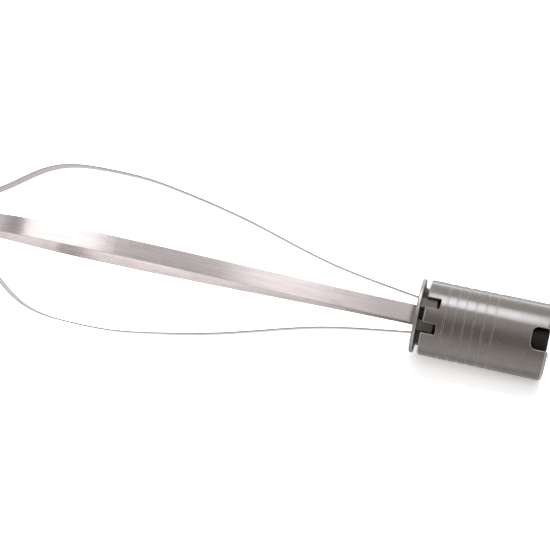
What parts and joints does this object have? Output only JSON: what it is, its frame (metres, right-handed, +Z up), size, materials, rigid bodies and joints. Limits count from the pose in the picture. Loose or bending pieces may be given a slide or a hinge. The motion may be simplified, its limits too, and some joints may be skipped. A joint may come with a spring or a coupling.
{
  "type": "immersion blender whisk attachment",
  "caption": "Balloon whisk attachment of crossed flat steel band loops in a moulded hub, with a steel end disc, a grooved grip collar, drive notches and a steel drive socket.",
  "frame": {"origin": "start of the spindle's bore, on the whisk's axis just inside the drive socket's mouth", "axes": "+X level, from the whisk's tip towards the blender; +Z up; the whisk lies as it rests, so its own axis falls 3.4 degrees towards +X"},
  "size_m": [0.2543, 0.054, 0.0551],
  "materials": {
    "moulded_grey": "satin moulded dark warm grey",
    "disc_steel": "stainless plate with fine rings",
    "hub_black": "satin moulded black",
    "band_steel": "stainless strip, brushed along its length",
    "turned_steel": "turned stainless"
  },
  "bodies": {
    "root": {"collar": "moulded_grey", "end_disc": "disc_steel", "whisk_hub": "hub_black", "outer_loop": "band_steel", "inner_loop": "band_steel", "outer_loop_pin": "turned_steel", "inner_loop_pin": "turned_steel", "drive_socket": "turned_steel", "retaining_ring": "turned_steel"}
  },
  "joints": []
}
